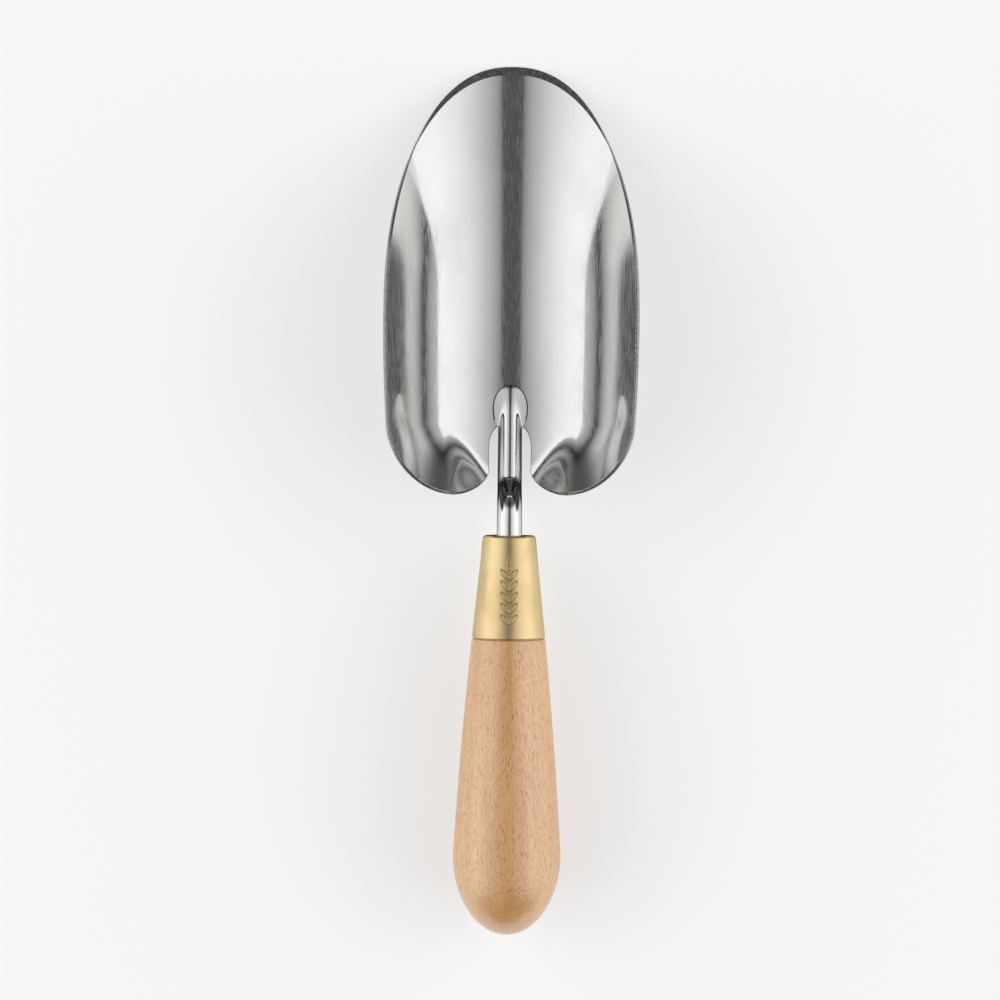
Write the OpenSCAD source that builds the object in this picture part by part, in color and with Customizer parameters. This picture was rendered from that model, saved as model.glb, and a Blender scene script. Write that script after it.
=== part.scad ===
// Hand transplanter: a scooped steel blade on a bent neck, set in a wooden handle.
// The tool lies scoop up on z = 0, with its tip at +Y and its butt at -Y.

/* [Overall] */
// Length from the tip of the blade to the butt of the handle
tool_length = 300; // [290:1:320]
// Angle by which the blade's spine rises from the tip towards the neck
blade_pitch = 2.4; // [1.5:0.1:3.5]
// Angle by which the handle's axis falls from the ferrule towards the butt
handle_pitch = 1; // [0:0.1:2]

/* [Blade] */
// Length of the blade from its tip to the ends of the two rear lobes
blade_length = 150.7; // [148:0.1:152]
// Width of the blade at its widest
blade_width = 85.8; // [80:0.2:92]
// Distance from the tip to the widest place
widest_at = 92; // [86:1:96]
// Exponent of the front outline: 2 is an ellipse, more is squarer
front_squareness = 2.24; // [2:0.02:2.6]
// Thickness of the sheet
sheet = 1.5; // [1.2:0.1:2]
// Radius of the trough at the tip
tip_radius = 58; // [50:1:70]
// Radius of the trough from the middle of the blade to the rear
trough_radius = 49.5; // [46:0.5:56]
// Extra height of the side walls above the plain trough
wall_rise = 13; // [8:1:15]

/* [Ground edge] */
// Length, from the tip back, of the bevel that is ground on the inside of the front edge
bevel_width = 2.8; // [1.5:0.1:4]
// Thickness of the sheet at the very edge of the bevel
edge_thickness = 0.35; // [0.2:0.05:0.6]
// Half of the width over which the bevel runs
bevel_reach = 34; // [30:1:36]

/* [Rear lobes] */
// Distance from the tip at which the lobes start to curl up, away from the slot
curl_start = 126; // [124:0.5:130]
// Beside the slot the curl starts this much further back
curl_lag = 18; // [12:0.5:20]
// Distance from the middle of the slot within which it does so
curl_lag_half = 23.4; // [18:0.2:28]
// Slope that the curl comes close to, as rise over run
curl_slope = 1.8; // [1:0.05:2]
// Distance over which the curl gets steep: less is a sharper curl
curl_reach = 24; // [16:1:40]
// Width of the slot between the lobes
slot_width = 15.5; // [14:0.1:17]
// Distance from the tip to the closed end of the slot
slot_start = 124; // [123:0.5:125]

/* [Neck] */
// Diameter of the neck where it lies in the slot
neck_d = 8.2; // [7.6:0.1:8.4]
// Diameter of the neck where it enters the ferrule
neck_rear_d = 8.6; // [8.4:0.1:9]
// Height of the neck's upper side above the inside of the blade
neck_proud = 3.4; // [3:0.1:4.2]
// Width of the flattened pad that is welded to the blade
pad_width = 11.4; // [10.8:0.1:12.4]
// Distance from the tip of the blade to the front of the pad
pad_start = 112; // [111:0.1:113]
// Distance from the tip at which the neck starts to bend up
bend_start = 143; // [140:0.5:144]
// Radius of both bends, on the neck's centre line
bend_radius = 6.5; // [5.5:0.5:7.5]
// Steepest angle of the neck between the two bends
bend_angle = 60; // [54:1:64]

/* [Tang] */
// Diameter of the tang inside the handle
tang_d = 7.4; // [6:0.1:7.5]
// Length of the tang behind the ferrule's front face
tang_length = 55; // [40:1:70]

/* [Ferrule] */
// Distance from the tip of the blade to the ferrule's front face
ferrule_start = 163.5; // [162:0.5:165]
// Length of the ferrule
ferrule_length = 34.8; // [30:0.2:38]
// Outer diameter of the ferrule at its front
ferrule_front_d = 17.9; // [17:0.1:20]
// Outer diameter of the ferrule at its rear rim
ferrule_rear_d = 25; // [23:0.1:25.2]
// Wall thickness of the ferrule
ferrule_wall = 0.9; // [0.7:0.1:1.2]

/* [Handle] */
// Diameter of the handle just behind the ferrule
handle_front_d = 25.2; // [25.2:0.1:27]
// Diameter of the handle at its thickest
grip_d = 36.8; // [34:0.2:38]
// Length of the rounded butt behind the thickest place
butt_length = 27.4; // [22:0.2:32]
// Swell of the handle's sides above a straight cone
grip_swell = 0.4; // [0:0.1:1.5]

/* [Hidden] */
$fn = 96;

gap = 0.05;                  // clearance between pieces that are fitted together
tip_y = tool_length / 2;

// ---- Blade surface. x is across, u is the distance back from the tip. ----
half_width = blade_width / 2;
rear_taper = 1.2;            // narrowing of each side between the widest place and the lobes
corner_start = 128;          // where the outer corners of the lobes begin
corner_x = 19.8;             // middle of each lobe, where its rear end lies
corner_squareness = 2;
slot_half = slot_width / 2;
slot_nose = 9;               // length of the rounded closed end of the slot
slot_flare = 9.5;            // length of the flare at the open end of the slot
flare_squareness = 1.7;
wall_power = 5;              // how sharply the side walls turn up
wall_from = 20;              // the walls start to rise here
wall_full = 76;              // and are at full height from here on
wall_limit = 1.2;            // beyond this share of the half width the walls rise no more

function smooth(t) = let (c = min(1, max(0, t))) c * c * (3 - 2 * c);
function super(t, n) = pow(max(0, 1 - pow(min(1, max(0, t)), n)), 1 / n);

// Half width of the blade without its rear corners
function side_x(u) = u < widest_at
    ? half_width * super(1 - u / widest_at, front_squareness)
    : half_width - rear_taper * pow((u - widest_at) / (corner_start - widest_at), 2);

// Outer outline, with the rear corners
function outer_x(u) = u < corner_start
    ? side_x(u)
    : corner_x + (side_x(u) - corner_x)
        * super((u - corner_start) / (blade_length - corner_start), corner_squareness);

// Inner outline: zero in front of the slot, then the side of the slot
function inner_x(u) = u <= slot_start
    ? 0
    : u < slot_start + slot_nose
        ? slot_half * super(1 - (u - slot_start) / slot_nose, 2)
        : u < blade_length - slot_flare
            ? slot_half
            : corner_x - (corner_x - slot_half)
                * super((u - blade_length + slot_flare) / slot_flare, flare_squareness);

// Distance from the tip to the front edge at x
function front_u(x) = widest_at * (1 - super(abs(x) / half_width, front_squareness));

// Height of the underside of the sheet
function trough_r(u) = tip_radius + (trough_radius - tip_radius) * smooth(u / wall_full);
function wall_h(u) = wall_rise * smooth((u - wall_from) / (wall_full - wall_from));
function curl_u(x) = curl_start + curl_lag * (1 - smooth(abs(x) / curl_lag_half));
function curl_h(x, u) =
    let (d = max(0, u - curl_u(x)))
    curl_slope * (d - curl_reach * (1 - exp(-d / curl_reach)));
function under_z(x, u) =
    x * x / (2 * trough_r(u))
    + wall_h(u) * pow(min(wall_limit, abs(x) / max(1, side_x(u))), wall_power)
    + curl_h(x, u);

// Unit normal of the underside, pointing into the scoop
probe = 0.05;
function under_normal(x, u) =
    let (dx = (under_z(x + probe, u) - under_z(x - probe, u)) / (2 * probe),
         du = (under_z(x, u + probe) - under_z(x, u - probe)) / (2 * probe),
         n = norm([dx, du, 1]))
    [-dx / n, du / n, 1 / n];

// A point of the sheet, t above its underside. The blade's own y runs back from the tip.
function sheet_point(x, u, t) = [x, -u, under_z(x, u)] + t * under_normal(x, u);

// ---- Grid of the blade. Row 0 is the front edge and row 1 the top of its bevel. Rows up to
// straight_row turn from that arch into straight lines, and the slot starts at slot_row. ----
straight_row = 22;
slot_row = 27;
last_row = 48;
side_cols = 14;              // columns from the middle to each side
straight_u = 104;            // where the straight rows start
edge_step = 0.3;             // width of the first strip where the bevel has run out
end_step = 0.03;             // the last row stops this far short of the lobes' ends

// s runs from 0 in the middle to 1 at the side
function bevel_fade(s) = 1 - pow(s, 4);
function bevel_u(s) = edge_step + bevel_width * bevel_fade(s);
function arch_row_u(i, s) =
    i == 0
        ? front_u(s * bevel_reach)
        : let (start = front_u(s * bevel_reach) + bevel_u(s), k = (i - 1) / (straight_row - 1))
          start + (straight_u - start) * k;
function tongue_row_u(i) =
    straight_u + (slot_start - straight_u) * (i - straight_row) / (slot_row - straight_row);
function lobe_row_u(i) =
    let (k = (i - slot_row) / (last_row - slot_row), rear_end = blade_length - end_step)
    slot_start + (rear_end - slot_start) * (1 - cos(180 * k)) / 2;
function row_u(i, s) =
    i <= straight_row ? arch_row_u(i, s) : i <= slot_row ? tongue_row_u(i) : lobe_row_u(i);

function grid_x(i, s) =
    let (edge_u = row_u(i, 1), a = inner_x(edge_u), b = i == 0 ? bevel_reach : outer_x(edge_u))
    a + (b - a) * s;
function upper_t(i, s) = i == 0 ? sheet + (edge_thickness - sheet) * bevel_fade(s) : sheet;

// A row holds the left side from its edge inward, then the right side from the middle outward
row_points = 2 * side_cols + 2;
function col_s(c) = c <= side_cols ? (side_cols - c) / side_cols : (c - side_cols - 1) / side_cols;
function col_sign(c) = c <= side_cols ? -1 : 1;
function layer_points(upper) = [
    for (i = [0 : last_row], c = [0 : row_points - 1])
        let (s = col_s(c))
        sheet_point(col_sign(c) * grid_x(i, s), row_u(i, s), upper ? upper_t(i, s) : 0)
];
layer_size = (last_row + 1) * row_points;

// In front of the slot both sides share the point in the middle
function at(i, c, upper) =
    i * row_points + (i <= slot_row && c == side_cols + 1 ? side_cols : c)
    + (upper ? layer_size : 0);
function quad(a, b, c, d) = [[a, b, c], [a, c, d]];

grid_cols = [for (c = [0 : row_points - 2]) if (c != side_cols) c];
blade_faces = [
    for (i = [0 : last_row - 1], c = grid_cols)
        each quad(at(i, c, true), at(i, c + 1, true), at(i + 1, c + 1, true), at(i + 1, c, true)),
    for (i = [0 : last_row - 1], c = grid_cols)
        each quad(at(i, c, false), at(i + 1, c, false), at(i + 1, c + 1, false),
            at(i, c + 1, false)),
    for (i = [0 : last_row - 1])
        each quad(at(i, 0, false), at(i, 0, true), at(i + 1, 0, true), at(i + 1, 0, false)),
    for (i = [0 : last_row - 1], c = row_points - 1)
        each quad(at(i, c, false), at(i + 1, c, false), at(i + 1, c, true), at(i, c, true)),
    for (c = grid_cols)
        each quad(at(0, c, false), at(0, c + 1, false), at(0, c + 1, true), at(0, c, true)),
    for (c = grid_cols, i = last_row)
        each quad(at(i, c, false), at(i, c, true), at(i, c + 1, true), at(i, c + 1, false)),
    for (i = [slot_row : last_row - 1], c = side_cols)
        each quad(at(i, c, false), at(i + 1, c, false), at(i + 1, c, true), at(i, c, true)),
    for (i = [slot_row : last_row - 1], c = side_cols + 1)
        each quad(at(i, c, false), at(i, c, true), at(i + 1, c, true), at(i + 1, c, false))
];

// Puts what is drawn in the blade's own frame, with y back from the tip negative, in place
module on_blade() {
    translate([0, tip_y, 0])
        rotate([-blade_pitch, 0, 0])
            children();
}

module blade() {
    color("silver")
        on_blade()
            polyhedron(points = concat(layer_points(false), layer_points(true)),
                faces = blade_faces, convexity = 6);
}

// ---- Neck: one rod, forged flat at its front. It is a row of rings along the rod, and each ring
// is drawn in the plane x = 0 as [x, distance back from the tip, height]. ----
neck_r = neck_d / 2;
neck_axis_h = sheet + neck_proud - neck_r;   // above the underside of the spine
shoulder_u = slot_start + 2.2;               // the pad ends here and the heel starts
pad_front = 7.7;                             // from the pad's front to its widest place
pad_rear = 10.5;                             // rear half length of the pad's oval
pad_edge = 0.8;                              // thickness of the pad's edge
pad_fall = 12;                               // fall of the pad's ridge towards its front
flange_slope = 14.5;                         // slope of the pad on both sides of its ridge
ridge_round = 1.6;                           // distance over which those slopes meet
blend_power = 6;                             // how tightly the ridge blends into those slopes
ring_points = 32;
ring_step = 360 / ring_points;

// Half width of the pad, d in front of its widest place
function pad_half(d) =
    let (reach = d > 0 ? pad_front : pad_rear)
    pad_width / 2 * sqrt(max(0, 1 - d * d / (reach * reach)));

// Height of the pad's upper side above the blade
function pad_top(x, u, half) =
    let (ridge = neck_proud - (shoulder_u - u) * tan(pad_fall),
         round = ridge - neck_r + sqrt(max(0, neck_r * neck_r - x * x)),
         flange = pad_edge + (norm([half, ridge_round]) - norm([x, ridge_round])) * tan(flange_slope))
    pow(pow(max(0, round), blend_power) + pow(flange, blend_power), 1 / blend_power);

// A point in the blade's own frame, turned by the blade's pitch
function pitched(x, u, h) = [
    x,
    u * cos(blade_pitch) - h * sin(blade_pitch),
    u * sin(blade_pitch) + h * cos(blade_pitch)
];
function pad_ring(u) =
    let (half = pad_half(pad_start + pad_front - u))
    [
        for (a = [0 : ring_step : 359])
            let (x = half * cos(a),
                 floor_h = sheet + gap + x * x / (2 * (trough_radius - sheet)))
            pitched(x, u, floor_h + (a <= 180 ? pad_top(x, u, half) : 0))
    ];

// A round ring whose centre is at a place in the plane x = 0
function round_ring(place, slope, r) = [
    for (a = [0 : ring_step : 359])
        [r * cos(a), place[0] - sin(slope) * r * sin(a), place[1] + cos(slope) * r * sin(a)]
];

// The handle's axis passes grip_height above the floor at the thickest place
grip_r = grip_d / 2;
butt_u = tool_length - butt_length;
grip_height = grip_r / cos(handle_pitch);
function axis_place(u) = [u, grip_height + (butt_u - u) * tan(handle_pitch)];
function behind(place, slope, d) = place + d * [cos(slope), sin(slope)];

// Two bends with a straight riser between them, which is as long as the handle's height asks
function turn(from, to, upward) =
    bend_radius * (upward ? 1 : -1) * [sin(to) - sin(from), cos(from) - cos(to)];
slot_point = pitched(0, shoulder_u, neck_axis_h);
slot_place = [slot_point[1], slot_point[2]];
bend_1 = behind(slot_place, blade_pitch, bend_start - shoulder_u);
bend_1_end = bend_1 + turn(blade_pitch, bend_angle, true);
bends_end = bend_1_end + turn(bend_angle, -handle_pitch, false);
riser = (axis_place(bends_end[0])[1] - bends_end[1])
    / (sin(bend_angle) + cos(bend_angle) * tan(handle_pitch));
bend_2 = behind(bend_1_end, bend_angle, riser);
bend_2_end = bend_2 + turn(bend_angle, -handle_pitch, false);
ferrule_place = axis_place(ferrule_start);

shank_end = 1;               // the full neck ends this far inside the ferrule, short of the wood
tang_tip = 2;                // length of the tang's chamfered end
shoulder_step = 0.3;         // length of the step from the pad down into the slot
heel_length = 7;             // length over which the underside comes down to the full round
heel_depth = 0.4;            // depth of the neck below its axis where the heel starts
heel_steps = 8;
bend_steps = 9;
pad_steps = 16;

// Radius of the neck, which widens evenly from the slot to the ferrule
function neck_radius(place) =
    let (k = (place[0] - slot_place[0]) / (ferrule_place[0] - slot_place[0]))
    neck_r + (neck_rear_d - neck_d) / 2 * min(1, k);
function neck_ring(place, slope) = round_ring(place, slope, neck_radius(place));

// The heel is round above its axis, and below it as deep as it has come down at distance d
function heel_ring(d) =
    let (place = behind(slot_place, blade_pitch, d),
         r = neck_radius(place),
         depth = heel_depth + (r - heel_depth) * sin(90 * d / heel_length))
    [
        for (a = [0 : ring_step : 359])
            let (up = sin(a) * (a <= 180 ? r : depth))
            [r * cos(a), place[0] - sin(blade_pitch) * up, place[1] + cos(blade_pitch) * up]
    ];
function bend_rings(start, from, to) = [
    for (i = [0 : bend_steps])
        let (slope = from + (to - from) * i / bend_steps)
        neck_ring(start + turn(from, slope, to > from), slope)
];
function tang_ring(d, r) = round_ring(behind(ferrule_place, -handle_pitch, d), -handle_pitch, r);

neck_rings = concat(
    [for (i = [1 : pad_steps])
        pad_ring(pad_start + (shoulder_u - pad_start) * (1 - cos(90 * i / pad_steps)))],
    [for (i = [0 : heel_steps])
        heel_ring(shoulder_step + (heel_length - shoulder_step) * i / heel_steps)],
    bend_rings(bend_1, blade_pitch, bend_angle),
    bend_rings(bend_2, bend_angle, -handle_pitch),
    [tang_ring(shank_end, neck_rear_d / 2)],
    [tang_ring(shank_end, tang_d / 2)],
    [tang_ring(tang_length - tang_tip, tang_d / 2)],
    [tang_ring(tang_length, tang_d / 4)]
);

// Skin over a row of closed rings that all have the same number of points
module ring_skin(rings) {
    n = len(rings[0]);
    last = len(rings) - 1;
    polyhedron(
        points = [for (ring = rings) each ring],
        faces = concat(
            [[for (j = [0 : n - 1]) j]],
            [for (i = [0 : last - 1], j = [0 : n - 1])
                each quad(i * n + j, (i + 1) * n + j,
                    (i + 1) * n + (j + 1) % n, i * n + (j + 1) % n)],
            [[for (j = [n - 1 : -1 : 0]) last * n + j]]
        ),
        convexity = 6
    );
}

module neck() {
    color("gainsboro")
        translate([0, tip_y, 0])
            mirror([0, 1, 0])
                ring_skin(neck_rings);
}

// ---- Weld bead around the pad ----
bead = 0.35;                 // width and height of the bead

// Oval outline of the pad, drawn with its widest place at the origin and its front at +Y
module pad_outline(grow) {
    polygon([
        for (a = [0 : 5 : 355])
            [(pad_width / 2 + grow) * cos(a), (sin(a) > 0 ? pad_front : pad_rear) * sin(a)
                + grow * sin(a)]
    ]);
}

// A cylinder along the blade that fills its trough up to a distance from the sheet
module trough_core(distance) {
    translate([0, 0, trough_radius])
        rotate([90, 0, 0])
            cylinder(r = trough_radius - sheet - distance, h = blade_length, $fn = 180);
}

module pad_weld() {
    color("dimgray")
        on_blade()
            difference() {
                intersection() {
                    translate([0, -pad_start - pad_front, 0])
                        linear_extrude(neck_d)
                            difference() {
                                pad_outline(bead);
                                pad_outline(gap);
                            }
                    trough_core(gap);
                    translate([-pad_width, -slot_start, 0])
                        cube([2 * pad_width, 2 * pad_width, neck_d]);
                }
                trough_core(gap + bead);
            }
}

// ---- Ferrule and handle, drawn along +Z from the ferrule's front face ----
ferrule_front_r = ferrule_front_d / 2;
ferrule_rear_r = ferrule_rear_d / 2;
front_round = 1.2;           // rounding of the ferrule's front shoulder
rim_round = 0.4;             // rounding of its rear rim
ferrule_cap = 1.2;           // thickness of its front face
hole_r = neck_rear_d / 2 + gap;
spigot_front = ferrule_cap + gap;

// Draws along the handle's axis, with the ferrule's front face at z = 0
module on_handle() {
    translate([0, tip_y - ferrule_place[0], ferrule_place[1]])
        rotate([90 + handle_pitch, 0, 0])
            children();
}

function ferrule_r(z) =
    ferrule_front_r + (ferrule_rear_r - ferrule_front_r) * z / ferrule_length;
function quarter(centre, r, from) =
    [for (a = [from : 15 : from + 90]) centre + r * [cos(a), sin(a)]];

// Points of a profile are [distance from the axis, distance along it]
ferrule_profile = concat(
    [[hole_r, 0]],
    quarter([ferrule_r(front_round) - front_round, front_round], front_round, -90),
    quarter([ferrule_rear_r - rim_round, ferrule_length - rim_round], rim_round, 0),
    [[ferrule_r(ferrule_length) - ferrule_wall, ferrule_length]],
    [[ferrule_r(ferrule_cap) - ferrule_wall, ferrule_cap]],
    [[hole_r, ferrule_cap]]
);

module ferrule() {
    color("darkgoldenrod")
        on_handle()
            rotate_extrude()
                polygon(ferrule_profile);
}

handle_end = (tool_length - ferrule_start) / cos(handle_pitch);
grip_z = handle_end - butt_length;
joint_line = 0.35;           // open joint between the ferrule's rim and the wood
body_z = ferrule_length + joint_line;
front_break = 0.5;           // small rounding of the wood behind the ferrule
body_steps = 16;
butt_steps = 18;
glue_thickness = 0.6;
bore_d = tang_d + 2 * glue_thickness;
bore_end = tang_length + 2;  // the bore is a little deeper than the tang is long
handle_front_r = handle_front_d / 2;

// Straight cone plus a shallow swell, up to the thickest place
function body_r(k) =
    handle_front_r + (grip_r - handle_front_r) * k + grip_swell * 4 * k * (1 - k);

handle_profile = concat(
    [[bore_d / 2, spigot_front]],
    [[ferrule_r(spigot_front) - ferrule_wall - gap, spigot_front]],
    [[ferrule_r(ferrule_length) - ferrule_wall - gap, body_z]],
    [[handle_front_r - front_break, body_z]],
    [for (k = [0 : 1 / body_steps : 1])
        [body_r(k), body_z + front_break + (grip_z - body_z - front_break) * k]],
    [for (a = [90 / butt_steps : 90 / butt_steps : 89])
        [grip_r * cos(a), grip_z + butt_length * sin(a)]],
    [[0, handle_end]],
    [[0, bore_end]],
    [[bore_d / 2, bore_end]]
);

module handle() {
    color("burlywood")
        on_handle()
            rotate_extrude()
                polygon(handle_profile);
}

// ---- Adhesive that fills the space between the tang and the bore ----
glue_front = spigot_front + 1;

module tang_adhesive() {
    color("tan")
        on_handle()
            difference() {
                translate([0, 0, glue_front])
                    cylinder(d = bore_d - 2 * gap, h = bore_end - gap - glue_front);
                cylinder(d = tang_d + 2 * gap, h = tang_length + gap);
            }
}

blade();
neck();
pad_weld();
ferrule();
handle();
tang_adhesive();
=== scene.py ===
"""Looks of the hand transplanter: smooth meshes for its pieces, their materials, and the studio around it."""
import math

import bpy
import numpy as np
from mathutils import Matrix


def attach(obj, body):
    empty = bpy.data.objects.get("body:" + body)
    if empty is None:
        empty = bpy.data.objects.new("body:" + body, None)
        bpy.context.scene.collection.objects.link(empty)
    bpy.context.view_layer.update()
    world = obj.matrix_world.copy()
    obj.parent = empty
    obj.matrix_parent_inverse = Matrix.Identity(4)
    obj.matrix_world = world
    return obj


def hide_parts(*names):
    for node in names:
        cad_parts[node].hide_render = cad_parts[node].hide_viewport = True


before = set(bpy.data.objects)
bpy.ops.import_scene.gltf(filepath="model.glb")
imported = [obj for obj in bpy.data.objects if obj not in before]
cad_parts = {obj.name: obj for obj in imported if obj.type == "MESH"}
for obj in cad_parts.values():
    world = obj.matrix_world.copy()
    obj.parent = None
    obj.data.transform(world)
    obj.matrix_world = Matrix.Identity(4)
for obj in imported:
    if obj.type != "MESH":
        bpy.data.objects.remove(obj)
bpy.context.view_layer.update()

MM = 0.001

# ---- Sizes in millimetres, as the CAD model has them ----
TOOL_LENGTH = 300.0
BLADE_PITCH = math.radians(2.4)
HANDLE_PITCH = math.radians(1.0)

BLADE_LENGTH = 150.7
HALF_WIDTH = 42.9
WIDEST_AT = 92.0
FRONT_SQUARENESS = 2.24
SHEET = 1.5
TIP_RADIUS = 58.0
TROUGH_RADIUS = 49.5
WALL_RISE = 13.0
WALL_FROM = 20.0
WALL_FULL = 76.0
WALL_POWER = 5.0
WALL_LIMIT = 1.2
BEVEL_WIDTH = 2.8
BEVEL_REACH = 34.0
EDGE_THICKNESS = 0.35
CURL_START = 126.0
CURL_LAG = 18.0
CURL_LAG_HALF = 23.4
CURL_SLOPE = 1.8
CURL_REACH = 24.0
REAR_TAPER = 1.2
CORNER_START = 128.0
CORNER_X = 19.8
CORNER_SQUARENESS = 2.0
SLOT_HALF = 7.75
SLOT_START = 124.0
SLOT_NOSE = 9.0
SLOT_FLARE = 9.5
FLARE_SQUARENESS = 1.7

NECK_RADIUS = 4.1
NECK_REAR_RADIUS = 4.3
NECK_PROUD = 3.4
SHOULDER_U = SLOT_START + 2.2
SHOULDER_STEP = 0.3
HEEL_LENGTH = 7.0
HEEL_DEPTH = 0.4
PAD_WIDTH = 11.4
PAD_START = 112.0
PAD_FRONT = 7.7
PAD_REAR = 10.5
PAD_EDGE = 0.8
PAD_FALL = math.radians(12.0)
FLANGE_SLOPE = math.radians(14.5)
RIDGE_ROUND = 1.6
BLEND_POWER = 6.0
BEND_START = 143.0
BEND_RADIUS = 6.5
BEND_ANGLE = math.radians(60.0)
SHANK_END = 1.0
TANG_RADIUS = 3.7
TANG_LENGTH = 55.0
TANG_TAPER = 2.0

FERRULE_START = 163.5
FERRULE_LENGTH = 34.8
FERRULE_FRONT_RADIUS = 8.95
FERRULE_REAR_RADIUS = 12.5
FERRULE_WALL = 0.9
FERRULE_CAP = 1.2
FERRULE_SHOULDER_ROUND = 1.2
FERRULE_RIM_ROUND = 0.4

HANDLE_FRONT_RADIUS = 12.6
HANDLE_FRONT_ROUND = 0.5
SPIGOT_START = 1.25
GRIP_RADIUS = 18.4
GRIP_SWELL = 0.4
BUTT_LENGTH = 27.4
BORE_RADIUS = TANG_RADIUS + 0.6
BORE_END = TANG_LENGTH + 2.0
GAP = 0.05
JOINT_LINE = 0.35

# ---- Fineness of the meshes ----
STRAIGHT_ROW = 84
SLOT_ROW = 104
LAST_ROW = 168
SIDE_COLS = 56
ROUND_STEPS = 4
PAD_STEPS = 48
HEEL_STEPS = 20
BEND_STEPS = 40
RING_POINTS = 96
TURN_POINTS = 160
GRIP_STEPS = 60
BUTT_STEPS = 40
SHOULDER_STEPS = 8
RIM_STEPS = 6
FRONT_STEPS = 5
SHARP_ANGLE = math.radians(35)

# ---- Details of the blade's mesh: millimetres, but for BULGE_ROWS and the share LEAST_BULGE ----
STRAIGHT_U = 104.0
EDGE_STEP = 0.3
END_STEP = 0.002
PROBE = 0.05
# The rim bulges outward by this much, less in the first rows, where the ground edge runs into it
EDGE_BULGE = 0.35
BULGE_ROWS = 12
LEAST_BULGE = 0.02
BACKWARD = np.array((0.0, -1.0, 0.0))

# Material slots of the blade
FACE = 0
BEVEL = 1
RIM = 2


# ---- Blade surface, with x across and u back from the tip ----
def smooth(t):
    t = min(1.0, max(0.0, t))
    return t * t * (3 - 2 * t)


def super_curve(t, n):
    return max(0.0, 1 - min(1.0, max(0.0, t)) ** n) ** (1 / n)


def side_x(u):
    """Half width of the blade without its rear corners."""
    if u < WIDEST_AT:
        return HALF_WIDTH * super_curve(1 - u / WIDEST_AT, FRONT_SQUARENESS)
    return HALF_WIDTH - REAR_TAPER * ((u - WIDEST_AT) / (CORNER_START - WIDEST_AT)) ** 2


def outer_x(u):
    if u < CORNER_START:
        return side_x(u)
    corner = super_curve((u - CORNER_START) / (BLADE_LENGTH - CORNER_START), CORNER_SQUARENESS)
    return CORNER_X + (side_x(u) - CORNER_X) * corner


def inner_x(u):
    """Zero in front of the slot, then the side of the slot."""
    if u <= SLOT_START:
        return 0.0
    if u < SLOT_START + SLOT_NOSE:
        return SLOT_HALF * super_curve(1 - (u - SLOT_START) / SLOT_NOSE, 2)
    if u < BLADE_LENGTH - SLOT_FLARE:
        return SLOT_HALF
    flare = super_curve((u - BLADE_LENGTH + SLOT_FLARE) / SLOT_FLARE, FLARE_SQUARENESS)
    return CORNER_X - (CORNER_X - SLOT_HALF) * flare


def front_u(x):
    """Distance from the tip to the front edge at x."""
    return WIDEST_AT * (1 - super_curve(abs(x) / HALF_WIDTH, FRONT_SQUARENESS))


def curl_height(x, u):
    """Height that the rear lobes gain by their curl."""
    d = max(0.0, u - CURL_START - CURL_LAG * (1 - smooth(abs(x) / CURL_LAG_HALF)))
    return CURL_SLOPE * (d - CURL_REACH * (1 - math.exp(-d / CURL_REACH)))


def under_z(x, u):
    """Height of the underside of the sheet above its spine."""
    radius = TIP_RADIUS + (TROUGH_RADIUS - TIP_RADIUS) * smooth(u / WALL_FULL)
    wall = WALL_RISE * smooth((u - WALL_FROM) / (WALL_FULL - WALL_FROM))
    share = min(WALL_LIMIT, abs(x) / max(1.0, side_x(u)))
    return x * x / (2 * radius) + wall * share ** WALL_POWER + curl_height(x, u)


def under_normal(x, u):
    """Unit normal of the underside, pointing into the scoop."""
    dx = (under_z(x + PROBE, u) - under_z(x - PROBE, u)) / (2 * PROBE)
    du = (under_z(x, u + PROBE) - under_z(x, u - PROBE)) / (2 * PROBE)
    normal = np.array((-dx, du, 1.0))
    return normal / np.linalg.norm(normal)


def sheet_point(x, u, t):
    """A point of the sheet, t above its underside, in the blade's own frame."""
    return np.array((x, -u, under_z(x, u))) + t * under_normal(x, u)


def pitched_vector(v):
    cos_p = math.cos(BLADE_PITCH)
    sin_p = math.sin(BLADE_PITCH)
    return np.array((v[0], v[1] * cos_p + v[2] * sin_p, -v[1] * sin_p + v[2] * cos_p))


def pitched(point):
    """From the blade's own frame, in mm, to the shared frame, still in mm."""
    return pitched_vector(point) + np.array((0.0, TOOL_LENGTH / 2, 0.0))


# ---- Meshes ----
def link_object(name, data):
    obj = bpy.data.objects.new(name, data)
    bpy.context.scene.collection.objects.link(obj)
    return obj


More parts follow.
